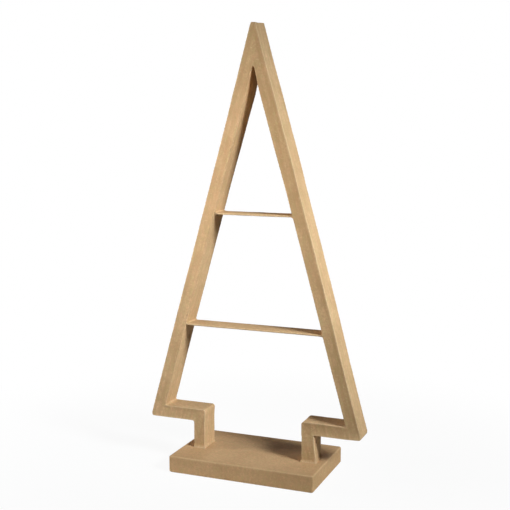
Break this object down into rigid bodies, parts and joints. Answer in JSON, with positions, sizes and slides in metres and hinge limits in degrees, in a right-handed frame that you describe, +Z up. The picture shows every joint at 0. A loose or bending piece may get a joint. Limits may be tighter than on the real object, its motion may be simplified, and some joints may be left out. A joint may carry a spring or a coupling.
{
  "type": "tree-shaped display rack",
  "caption": "Free-standing open tree-shaped rack of paper-covered board on a rectangular base, with level shelves between its sloping rails for small bottles or ornaments.",
  "frame": {"origin": "centre of the base's underside, on the table", "axes": "+Z up towards the tip of the tree, +X to the right along the base's length, +Y to the back"},
  "size_m": [0.2548, 0.105, 0.5017],
  "materials": {
    "frame_kraft_paper": "matt pasted kraft paper",
    "shelf_kraft_paper": "matt pasted kraft paper",
    "base_kraft_paper": "matt pasted kraft paper",
    "frame_greyboard": "raw greyboard",
    "shelf_greyboard": "raw greyboard",
    "base_greyboard": "raw greyboard"
  },
  "bodies": {
    "root": {"base_back_wall": "base_greyboard", "base_bottom_board": "base_greyboard", "base_bottom_paper": "base_kraft_paper", "base_edge_paper": "base_kraft_paper", "base_front_wall": "base_greyboard", "base_left_wall": "base_greyboard", "base_right_wall": "base_greyboard", "base_top_board": "base_greyboard", "base_top_paper": "base_kraft_paper", "frame_back_board": "frame_greyboard", "frame_front_board": "frame_greyboard", "left_arm_paper": "frame_kraft_paper", "left_arm_top_strip": "frame_greyboard", "left_arm_under_strip": "frame_greyboard", "left_post_inner_strip": "frame_greyboard", "left_post_outer_strip": "frame_greyboard", "left_post_paper": "frame_kraft_paper", "left_rail_inner_strip": "frame_greyboard", "left_rail_outer_strip": "frame_greyboard", "left_rail_paper": "frame_kraft_paper", "lower_shelf_board": "shelf_greyboard", "lower_shelf_paper": "shelf_kraft_paper", "right_arm_paper": "frame_kraft_paper", "right_arm_top_strip": "frame_greyboard", "right_arm_under_strip": "frame_greyboard", "right_post_inner_strip": "frame_greyboard", "right_post_outer_strip": "frame_greyboard", "right_post_paper": "frame_kraft_paper", "right_rail_inner_strip": "frame_greyboard", "right_rail_outer_strip": "frame_greyboard", "right_rail_paper": "frame_kraft_paper", "upper_shelf_board": "shelf_greyboard", "upper_shelf_paper": "shelf_kraft_paper"}
  },
  "joints": []
}
